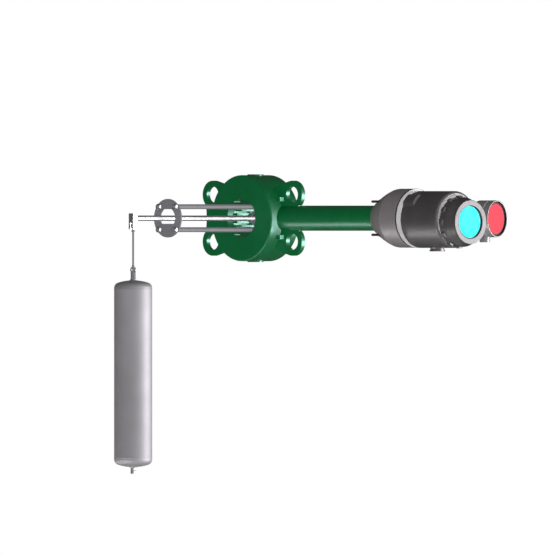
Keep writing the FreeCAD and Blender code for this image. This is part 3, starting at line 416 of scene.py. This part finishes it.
materials = {
    "green_paint": painted("green_paint", linear(0, 88, 42), linear(0, 92, 46), fine=700.0,
                           roughness=(0.33, 0.37), specular=0.62, tint=(0.5, 1.0, 0.88, 1.0)),
    "stainless": machined("stainless", linear(168, 166, 171), linear(178, 176, 182), ALONG_Y,
                          roughness=(0.3, 0.4), metallic=0.85),
    "matt_steel": machined("matt_steel", linear(110, 109, 114), linear(116, 115, 120), ALONG_Y,
                           roughness=(0.55, 0.62), metallic=0.04, specular=0.22),
    "displacer_steel": machined("displacer_steel", linear(134, 133, 136), linear(140, 139, 143), ROUND_Z,
                                roughness=(0.62, 0.66), scale=120.0, strength=0.02, metallic=0.52),
    "zinc_hardware": machined("zinc_hardware", linear(150, 148, 153), linear(170, 168, 174), EVEN,
                              roughness=(0.35, 0.45), metallic=0.85),
    "dark_hardware": machined("dark_hardware", linear(28, 24, 26), linear(46, 42, 44), EVEN,
                              roughness=(0.4, 0.5), metallic=0.5),
    "bearing_bronze": machined("bearing_bronze", linear(150, 112, 62), linear(178, 138, 84), ALONG_X,
                               roughness=(0.3, 0.45), metallic=1.0),
    "head_paint": painted("head_paint", *HEAD_COLOURS, roughness=SATIN, specular=0.78),
    "cover_paint": painted("cover_paint", *HEAD_COLOURS, roughness=SATIN, specular=0.36),
    "adapter_paint": painted("adapter_paint", linear(104, 98, 99), linear(108, 103, 104),
                             roughness=(0.38, 0.44), specular=0.75, coat=0.4),
    # Near-black paint for the sheets that stand in for shade in recesses: painted shade
    "painted_shade_black": painted("painted_shade_black", linear(3, 3, 4), linear(7, 7, 8),
                            roughness=(0.6, 0.7), specular=0.2),
    "gasket_rubber": painted("gasket_rubber", linear(16, 16, 18), linear(24, 24, 26),
                             fine=1500.0, depth=0.0002, roughness=(0.6, 0.75)),
    "module_plastic": painted("module_plastic", linear(30, 30, 33), linear(38, 38, 42),
                              fine=1200.0, depth=0.0002, roughness=(0.45, 0.6)),
    "terminal_plastic": painted("terminal_plastic", linear(52, 78, 56), linear(60, 88, 64),
                                fine=1200.0, depth=0.0002, roughness=(0.45, 0.6)),
    "lcd": lit_panel("lcd", linear(36, 205, 210), linear(44, 212, 216), glow=0.5),
    # The red disc is no lamp: its glow is painted light that brightens its red.
    "red_plastic": lit_panel("red_plastic", linear(222, 62, 76), linear(228, 68, 82), glow=0.3),
    "cover_glass": clear_glass("cover_glass"),
}

green_tree = materials["green_paint"].node_tree
dull_behind(green_tree, green_tree.nodes["Principled BSDF"], 0.8)

# Frame nodes whose look isn't that of their slot
SPECIAL_LOOKS = {"cage_ring": "matt_steel", "cage_end_plate": "matt_steel", "hanger_link": "matt_steel",
                 "displacer_stem": "matt_steel", "adapter_nuts": "dark_hardware",
                 "terminal_box": "adapter_paint"}
SPECIAL_LOOKS.update({"cage_rod_%d" % number: "matt_steel" for number in range(1, 5)})

for row in frame["record"]["subparts"]:
    look = SPECIAL_LOOKS.get(row["node"], row["material_slot"])
    mesh = nodes[row["node"]].data
    mesh.materials.clear()
    mesh.materials.append(materials[look])


# Pieces whose form goes beyond the frame's plain shapes

# Stations lie along the arm, +X. Sizes are in millimetres, in the frame's own places.
ROOT = "root"
ORIGIN = (0, 0, 0)
ALONG_ARM = (1, 0, 0)
BACK_ALONG_ARM = (-1, 0, 0)
ACROSS = (0, 1, 0)
UPWARDS = (0, 0, 1)
DOWNWARDS = (0, 0, -1)

NOSE = 346.0                            # small end of the bell
BARREL_START, BARREL_END = 397.0, 437.6
BARREL_RADIUS, BARREL_BORE = 56.5, 49.5
HOUSING_START, HOUSING_END = 440.2, 539.1
HOUSING_RADIUS, HOUSING_BORE = 54.5, 46.5
HOUSING_Y, HOUSING_Z = 10.0, -2.5       # the housing's axis lies beside the arm's
SPIGOT_START, SPIGOT_BORE = HOUSING_END - 8, 37.0
COVER_START, COVER_LENGTH = 543.6, 34.0
DISPLAY_Y, DISPLAY_Z = 10.0, -7.3       # the display's axis
WINDOW_RADIUS = 31.5
GLASS_FRONT = COVER_START + 31.4

STUD_SPREAD = 45.0 / math.sqrt(2)       # how far the studs lie off the axis, in Y and in Z
STUD_PLACES = [(y, z) for y in (STUD_SPREAD, -STUD_SPREAD) for z in (STUD_SPREAD, -STUD_SPREAD)]

DISPLACER_Y = -328.5                    # the displacer's axis
DISPLACER_RADIUS = 36.5
CROWN_TOP, CROWN_BOTTOM = -118.8, -476.8

SIDE_BOSS = (519.74, 10.0, -1.2)
TERMINAL_FRONT = (548.0, 111.0, -1.2)   # middle of the terminal cover's face
TERMINAL_TURN = math.radians(13)
TERMINAL_BACK = (-math.cos(TERMINAL_TURN), -math.sin(TERMINAL_TURN), 0.0)
RECESS_RADIUS, RECESS_DEPTH = 33.2, 5.0


def dress(piece, body, replaced, look):
    """Material and body of a new piece; the frame node that it replaces is hidden."""
    piece.data.materials.clear()
    piece.data.materials.append(materials[look])
    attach(piece, body)
    if replaced is not None:
        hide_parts(replaced)
    return piece


def smooth_step(value):
    """0 below 0, 1 above 1, and 3 v^2 - 2 v^3 between."""
    value = np.clip(value, 0, 1)
    return value * value * (3 - 2 * value)


def make_bell():
    """Bell between the arm and the head, turned. At the share t of the flare its radius is the
    start's plus the rise times (straight times t plus the rest times the sine of t quarter turns).
    A drawn-in seam and the barrel follow, and four seats for the studs' nuts are cut into it."""
    nose_radius, nose_bore = 32.2, 24.3
    flare_length, flare_start, flare_rise, straight = 49.6, 32.6, 23.6, 0.62
    seam_radius = BARREL_RADIUS - 0.8
    room_start, room_radius = NOSE + 22.4, 31.0
    t = np.linspace(0.04, 1, 24)
    flare = curve(NOSE + flare_length * t,
                  flare_start + flare_rise * (straight * t + (1 - straight) * np.sin(t * np.pi / 2)))
    seam = [(NOSE + 50.2, seam_radius), (NOSE + 51.4, seam_radius), (NOSE + 52.0, BARREL_RADIUS)]
    inside = [(BARREL_END, BARREL_RADIUS), (BARREL_END, BARREL_BORE), (BARREL_START + 7, BARREL_BORE),
              (room_start, room_radius), (room_start, nose_bore), (NOSE, nose_bore)]
    outline = softened([(NOSE, nose_bore), (NOSE, nose_radius), *flare, *seam, *inside], 0.8, 3)
    bell = lathe("bell", outline, ORIGIN, ALONG_ARM)

    seat_radius, seat_floor, hole_radius, hole_end = 6.5, 31.2, 2.6, 41.9
    seat = [(-6, 0), (-6, seat_radius), (seat_floor, seat_radius), (seat_floor, hole_radius),
            (hole_end, hole_radius), (hole_end, 0)]
    cutters = [lathe("seat", seat, (NOSE, y, z), ALONG_ARM, columns=40) for y, z in STUD_PLACES]
    cut_away(bell, merged("seats", cutters))
    return dress(bell, ROOT, "mounting_adapter", "adapter_paint")


def make_gasket():
    """Black gasket that stands a little proud of the joint: a turned ring, whose eased outer edge
    rises to a crest halfway."""
    edge, crest = 56.3, 56.9
    halfway = (BARREL_END + HOUSING_START) / 2
    outline = softened([(BARREL_END, BARREL_BORE), (BARREL_END, edge), (halfway, crest),
                        (HOUSING_START, edge), (HOUSING_START, BARREL_BORE),
                        (BARREL_END, BARREL_BORE)], 0.8)
    gasket = lathe("joint_gasket", outline, ORIGIN, ALONG_ARM)
    return dress(gasket, ROOT, "adapter_gasket", "gasket_rubber")


def make_tank():
    """Displacer: a cylinder with dished ends whose crown runs into the knuckle, a fine weld seam
    below each knuckle, and a flat boss on each crown. The crown's arc touches the knuckle's, so
    its radius is (reach^2 + dish^2 - knuckle^2) / (2 (dish - knuckle)), where the reach is the
    displacer's radius less the knuckle's."""
    knuckle, dish = 11.0, 15.0
    boss = [(1.0, 0.0), (1.0, 6.0), (0.5, 6.5)]
    boss_foot = 6.6
    seam_rise, seam_start, seam_width = 0.25, 1.0, 3.0
    reach = DISPLACER_RADIUS - knuckle
    crown = (reach ** 2 + dish ** 2 - knuckle ** 2) / (2 * (dish - knuckle))
    lean = math.atan2(crown - dish, reach)
    t = np.linspace(np.pi / 2, lean, 40)
    arc = curve(crown * np.sin(t) - crown, crown * np.cos(t))
    arc = arc[arc[:, 1] > boss_foot]
    t = np.linspace(lean, 0, 16)[1:]
    corner = curve(knuckle * np.sin(t) - dish, reach + knuckle * np.cos(t))
    t = np.linspace(0, 1, 7)
    seam = curve(-dish - seam_start - seam_width * t, DISPLACER_RADIUS + seam_rise * np.sin(t * np.pi))
    upper = np.vstack([boss, arc, corner, seam]) + (CROWN_TOP, 0)
    lower = curve(CROWN_TOP + CROWN_BOTTOM - upper[::-1, 0], upper[::-1, 1])
    tank = lathe("displacer_tank", np.vstack([upper, lower]), (0, DISPLACER_Y, 0), UPWARDS, columns=192)
    return dress(tank, "displacer", "displacer", "displacer_steel")


def make_weld(name, crown, side):
    """Weld bead where the stem or the stub meets a crown, on the given side of it: a ring about
    the displacer's axis, whose small radius at the angle a is the bead times 1 plus the ripple
    times |sin(drops a)|, as overlapping drops leave it."""
    ring_radius, bead, ripple, drops = 4.9, 0.9, 0.14, 11
    turn, lap = np.meshgrid(np.linspace(0, 2 * np.pi, 145), np.linspace(0, 2 * np.pi, 13), indexing="ij")
    small = bead * (1 + ripple * np.abs(np.sin(turn * drops)))
    out = ring_radius + small * np.cos(lap)
    points = np.stack([out * np.sin(turn), DISPLACER_Y - out * np.cos(turn),
                       crown + side + small * np.sin(lap)], axis=-1)
    points[-1] = points[0]
    points[:, -1] = points[:, 0]
    return dress(closed_object(name, points * MM, crease=180.0), "displacer", None, "stainless")


def make_stud_threads():
    """Threads of the four studs behind the head."""
    places = [(NOSE + 4.8, y, z) for y, z in STUD_PLACES]
    studs = threaded("stud_threads", places, ALONG_ARM, length=37.0, radius=2.5, pitch=0.9, depth=0.35)
    return dress(studs, ROOT, "adapter_studs", "dark_hardware")


def make_cover():
    """Display cover: one cast skin whose skirt carries twelve soft grip lugs, with eased corners
    and a bevel down to the face. The swell is the lug's rise times a ramp at each of its ends,
    along and around."""
    rear, front = COVER_START - 3.6, COVER_START + COVER_LENGTH
    bevel_start, bevel_end, seat_end, lip = COVER_START + 15, COVER_START + 27, COVER_START + 17.5, 2.5
    skirt, skirt_bore, bevel_radius, face_radius, glass_seat = 47.7, 41.3, 43.2, 42.3, 34.1
    lug_rise, lug_count, lug_start, lug_end = 3.0, 12, COVER_START - 2.6, COVER_START + 7.0
    rear_ramp, front_ramp, lug_share, flank_share = 0.8, 0.5, 0.44, 0.12
    lug_root = skirt - 1.7
    outline = softened([(rear, skirt_bore), (rear, skirt), (bevel_start, skirt), (bevel_end, bevel_radius),
                        (front, face_radius), (front, WINDOW_RADIUS), (front - lip, WINDOW_RADIUS),
                        (front - lip, glass_seat), (seat_end, glass_seat), (seat_end, skirt_bore),
                        (rear, skirt_bore)], 1.0)

    def lugs(station, radius, turn):
        along = (np.clip((station - lug_start) / rear_ramp, 0, 1)
                 * np.clip((lug_end - station) / front_ramp, 0, 1))
        off_lug = np.abs(((turn / (2 * np.pi) * lug_count + 0.5) % 1.0) - 0.5) * 2
        around = np.clip((lug_share - off_lug) / flank_share, 0, 1)
        return np.where(radius > lug_root, lug_rise * along * around, 0.0)

    cover = lathe("grip_cover", subdivided(outline, 0.8), (0, DISPLAY_Y, DISPLAY_Z), ALONG_ARM,
                  columns=288, swell=lugs)
    return dress(cover, "display_cover", "display_cover", "cover_paint")


def make_display():
    """Glass in the cover and the lit display close behind it, two turned discs with eased edges."""
    thickness, glass_radius = 1.6, 34.0
    pane = softened([(-thickness, 0), (-thickness, glass_radius), (0, glass_radius), (0, 0)], 0.4)
    glass = lathe("window_glass", pane, (GLASS_FRONT, DISPLAY_Y, DISPLAY_Z), ALONG_ARM)
    dress(glass, "display_cover", "display_glass", "cover_glass")
    depth, module_radius, behind = 16, 30.8, 2.2
    module = softened([(-depth, 0), (-depth, module_radius), (0, module_radius), (0, 0)], 0.3)
    display = lathe("lit_display", module, (GLASS_FRONT - behind, DISPLAY_Y, DISPLAY_Z), ALONG_ARM)
    dress(display, ROOT, "display_module", "lcd")


def make_shade_sheet(name, body, radius, depth, foot, start, direction):
    """Near-black sheet laid in a recess as painted shade, turned: a short tube against its wall,
    with a foot that runs inwards along its floor."""
    wall, floor, gap = 0.5, 0.6, 0.02
    outline = [(0, radius - wall), (0, radius - gap), (depth, radius - gap), (depth, radius - foot),
               (depth - floor, radius - foot), (depth - floor, radius - wall), (0, radius - wall)]
    return dress(lathe(name, outline, start, direction), body, None, "painted_shade_black")


def make_terminal_cup():
    """Cup that closes the terminal box, turned: an eased rim round a recess for the red disc."""
    rim, depth, bore, floor = 35.4, 14.0, 30.3, 8.0
    outline = softened([(RECESS_DEPTH, 0), (RECESS_DEPTH, RECESS_RADIUS), (0, RECESS_RADIUS), (0, rim),
                        (depth, rim), (depth, bore), (floor, bore), (floor, 0)], 0.7)
    cover = lathe("terminal_cup", outline, TERMINAL_FRONT, TERMINAL_BACK)
    return dress(cover, "terminal_cover", "terminal_cover", "adapter_paint")


def make_barrel():
    """Skin of the housing, turned: a barrel with a quarter round at its front edge, whose front
    face is dished towards the spigot, and whose outside swells into a soft raised pad. The swell
    is the pad's rise times a smooth step along the barrel and one across the pad."""
    edge, dish, dish_radius = 5.5, 3.9, 40.5
    wall_start, shaft_hole = HOUSING_START + 9.5, 3.0
    pad_rise, pad_turn, pad_half_width, pad_flank = 4.0, math.radians(135), 17.5, 9.0
    pad_end, pad_stop = HOUSING_START + 31.5, 3.0
    skin = curve(np.linspace(HOUSING_START, HOUSING_END - edge, 160)[:-1], HOUSING_RADIUS)
    t = np.linspace(0, np.pi / 2, 10)
    rounding = curve(HOUSING_END - edge * (1 - np.sin(t)), HOUSING_RADIUS - edge * (1 - np.cos(t)))
    face = [(HOUSING_END - 0.1, HOUSING_RADIUS - edge - 0.3), (HOUSING_END - dish, dish_radius),
            (HOUSING_END - dish, SPIGOT_BORE)]
    inside = [(SPIGOT_START, SPIGOT_BORE), (SPIGOT_START, HOUSING_BORE), (wall_start, HOUSING_BORE),
              (wall_start, shaft_hole), (HOUSING_START, shaft_hole)]

    def pad(station, radius, turn):
        across = (turn - pad_turn + np.pi) % (2 * np.pi) - np.pi
        off_middle = np.abs(HOUSING_RADIUS * np.sin(across))
        flank = smooth_step((pad_half_width - off_middle) / pad_flank)
        stop = smooth_step((pad_end - station) / pad_stop)
        on_pad = (radius > HOUSING_RADIUS - 0.01) & (np.cos(across) > 0)
        return np.where(on_pad, pad_rise * flank * stop, 0.0)

    outline = [(HOUSING_START, shaft_hole), *skin, *rounding, *face, *inside]
    barrel = lathe("housing_barrel", outline, (0, HOUSING_Y, HOUSING_Z), ALONG_ARM, columns=360,
                   swell=pad)
    return dress(barrel, ROOT, "main_housing", "head_paint")


def make_housing_fittings():
    """Turned pieces that run into the housing's skin: the flange at the bell, the display's
    spigot, the access boss below and the boss of the terminal box at the side. Both bosses start
    within the housing and come out through its wall."""
    flange_width, spigot_radius, spigot_length = 1.5, 41, 31
    inner_end, boss_end, boss_radius, boss_bore = 40, 56, 15.5, 8
    neck_start, neck_end, access_end = 53.8, 56.2, 57.5
    access_radius, neck_radius, rim_radius = 15.2, 14.2, 13.2
    flange = softened([(0, 0), (0, BARREL_RADIUS), (flange_width, BARREL_RADIUS), (flange_width, 0)], 0.4)
    spigot = softened([(0, SPIGOT_BORE), (0, spigot_radius), (spigot_length, spigot_radius),
                       (spigot_length, SPIGOT_BORE), (0, SPIGOT_BORE)], 0.5)
    access = softened([(inner_end, 0), (inner_end, access_radius), (neck_start, neck_radius),
                       (neck_end, rim_radius), (access_end, rim_radius), (access_end, 0)], 1.0)
    side = softened([(inner_end, boss_bore), (inner_end, boss_radius), (boss_end, boss_radius),
                     (boss_end, boss_bore), (inner_end, boss_bore)], 0.6)
    for name, outline, start, direction in (
            ("housing_flange", flange, (HOUSING_START, 0, 0), ALONG_ARM),
            ("housing_spigot", spigot, (SPIGOT_START, DISPLAY_Y, DISPLAY_Z), ALONG_ARM),
            ("housing_boss", access, (HOUSING_START + 46.3, HOUSING_Y, HOUSING_Z), DOWNWARDS),
            ("housing_side_boss", side, SIDE_BOSS, ACROSS)):
        dress(lathe(name, outline, start, direction), ROOT, None, "head_paint")


make_bell()
make_gasket()
make_tank()
make_weld("stem_weld", CROWN_TOP, 1.0)
make_weld("stub_weld", CROWN_BOTTOM, -1.0)
make_stud_threads()
make_cover()
make_display()
make_terminal_cup()
make_barrel()
make_housing_fittings()
# Painted shade: black sheets darken the inside of the display window and of the red disc's recess.
make_shade_sheet("window_painted_shade", "display_cover", radius=WINDOW_RADIUS, depth=2.0, foot=0.7,
           start=(COVER_START + 33.6, DISPLAY_Y, DISPLAY_Z), direction=BACK_ALONG_ARM)
make_shade_sheet("disc_painted_shade", "terminal_cover", radius=RECESS_RADIUS, depth=RECESS_DEPTH - 0.1, foot=4.0,
           start=TERMINAL_FRONT, direction=TERMINAL_BACK)


# Stage, light and camera

PIXEL = 0.001915                        # metres of the object to one pixel of the picture
PICTURE = 555
AZIMUTH = math.radians(45.5)            # the camera's way round from -Y towards +X
ORIGIN_AT = (255.5, 218.2)              # where the frame's origin lies in the picture
FLOOR = -1.8                            # metres

back = Vector((math.sin(AZIMUTH), -math.cos(AZIMUTH), 0))
right = Vector((math.cos(AZIMUTH), math.sin(AZIMUTH), 0))
up = Vector((0, 0, 1))
centre = (right * (PICTURE / 2 - ORIGIN_AT[0]) - up * (PICTURE / 2 - ORIGIN_AT[1])) * PIXEL
middle = (cad_box[0] + cad_box[1]) / 2


def seen_ray(tree):
    """1 for rays from the camera, from gloss and through glass, else 0."""
    path = tree.nodes.new("ShaderNodeLightPath")
    total = path.outputs["Is Camera Ray"]
    for name in ("Is Glossy Ray", "Is Transmission Ray"):
        larger = add(tree, "ShaderNodeMath", operation="MAXIMUM")
        link(tree, total, larger.inputs[0])
        link(tree, path.outputs[name], larger.inputs[1])
        total = larger.outputs[0]
    return total


def pale_backdrop(name, colour):
    """Material that is plain white to the camera, to gloss and to glass, and a pale surface
    to light."""
    material = bpy.data.materials.new(name)
    material.use_nodes = True
    tree = material.node_tree
    shader = tree.nodes["Principled BSDF"]
    shader.inputs["Base Color"].default_value = colour
    shader.inputs["Roughness"].default_value = 0.9
    white = add(tree, "ShaderNodeEmission", inputs={"Color": (1, 1, 1, 1), "Strength": 1.0})
    mix = tree.nodes.new("ShaderNodeMixShader")
    link(tree, seen_ray(tree), mix.inputs["Fac"])
    link(tree, shader.outputs["BSDF"], mix.inputs[1])
    link(tree, white.outputs["Emission"], mix.inputs[2])
    link(tree, mix.outputs["Shader"], tree.nodes["Material Output"].inputs["Surface"])
    return material


def make_world(light):
    """Pale world: a plain light on the object, and white to the camera, gloss and glass."""
    world = bpy.data.worlds.new("studio")
    bpy.context.scene.world = world
    world.use_nodes = True
    tree = world.node_tree
    background = tree.nodes["Background"]
    background.inputs["Color"].default_value = (1, 1, 1, 1)
    strength = add(tree, "ShaderNodeMapRange", inputs={"To Min": light, "To Max": 1.0})
    link(tree, seen_ray(tree), strength.inputs[0])
    link(tree, strength.outputs[0], background.inputs["Strength"])


def make_floor():
    """Pale floor well below the sensor, which hangs from its flange."""
    size = 6.0
    corners = [(-size, -size, FLOOR), (size, -size, FLOOR), (size, size, FLOOR), (-size, size, FLOOR)]
    mesh = bpy.data.meshes.new("floor")
    mesh.from_pydata(corners, [], [(0, 1, 2, 3)])
    mesh.materials.append(pale_backdrop("floor", (0.85, 0.85, 0.85, 1)))
    floor = bpy.data.objects.new("floor", mesh)
    bpy.context.scene.collection.objects.link(floor)


def make_grey_card(radius, reach, brightness):
    """Grey card that only gloss sees, as a photographer sets one beside a shiny thing: part of
    a sphere about the object, from its pole on the -X side out to the angle reach, in degrees."""
    lean, turn = np.meshgrid(np.radians(np.linspace(0, reach, 24)), np.radians(np.linspace(0, 360, 49)),
                             indexing="ij")
    points = np.stack([middle.x - radius * np.cos(lean), middle.y + radius * np.sin(lean) * np.cos(turn),
                       middle.z + radius * np.sin(lean) * np.sin(turn)], axis=-1)
    mesh = grid_mesh("grey_card", points)
    material = bpy.data.materials.new("grey_card")
    material.use_nodes = True
    tree = material.node_tree
    glow = add(tree, "ShaderNodeEmission", inputs={"Color": (1, 1, 1, 1), "Strength": brightness})
    link(tree, glow.outputs["Emission"], tree.nodes["Material Output"].inputs["Surface"])
    mesh.materials.append(material)
    card = bpy.data.objects.new("grey_card", mesh)
    bpy.context.scene.collection.objects.link(card)
    card.visible_camera = card.visible_diffuse = False
    card.visible_transmission = card.visible_shadow = False


def area_light(name, direction, distance, size, power, colour=(1, 1, 1), diffuse=True, gloss=True):
    """Rectangular lamp that looks at the object's middle from a direction. The camera doesn't
    see it, and it throws no shadows, as a very wide soft light would not."""
    data = bpy.data.lights.new(name, "AREA")
    data.shape = "RECTANGLE"
    data.size, data.size_y = size
    data.energy = power
    data.color = colour
    data.use_shadow = False
    lamp = bpy.data.objects.new(name, data)
    lamp.location = middle + Vector(direction).normalized() * distance
    lamp.rotation_mode = "QUATERNION"
    lamp.rotation_quaternion = Vector(direction).to_track_quat("Z", "Y")
    lamp.visible_camera = lamp.visible_transmission = False
    lamp.visible_diffuse = diffuse
    lamp.visible_glossy = gloss
    bpy.context.scene.collection.objects.link(lamp)


def make_camera():
    """Camera without perspective, level, at the picture's scale."""
    data = bpy.data.cameras.new("camera")
    data.type = "ORTHO"
    data.ortho_scale = PICTURE * PIXEL
    camera = bpy.data.objects.new("camera", data)
    camera.location = centre + back * 3.0
    camera.rotation_mode = "QUATERNION"
    camera.rotation_quaternion = back.to_track_quat("Z", "Y")
    bpy.context.scene.collection.objects.link(camera)
    bpy.context.scene.camera = camera


make_world(light=0.35)
make_floor()
make_grey_card(radius=2.0, reach=112, brightness=0.06)
# The +X faces mirror the camera's line of sight towards (0.7133, 0.7009, 0).
area_light("side_card", direction=(0.7133, 0.7009, -0.12), distance=3.0, size=(1.8, 1.5), power=230.0,
           colour=(1.0, 0.97, 1.0), diffuse=False)
area_light("side_lamp", direction=(0.7133, 0.7009, 0.0), distance=3.0, size=(0.8, 0.8), power=38.0,
           gloss=False)
area_light("low_lamp", direction=(-0.7133, -0.34, -0.55), distance=1.6, size=(0.8, 0.45), power=7.6,
           colour=(1.0, 0.95, 0.95))
area_light("low_card", direction=(-0.12, -0.73, -0.67), distance=1.6, size=(0.6, 0.45), power=16.0,
           colour=(1.0, 0.93, 0.93), diffuse=False)
area_light("front_panel", direction=(0.7133, -0.7009, 0.05), distance=3.4, size=(1.4, 1.4), power=85.0,
           gloss=False)
make_camera()

scene = bpy.context.scene
scene.view_settings.view_transform = "Standard"
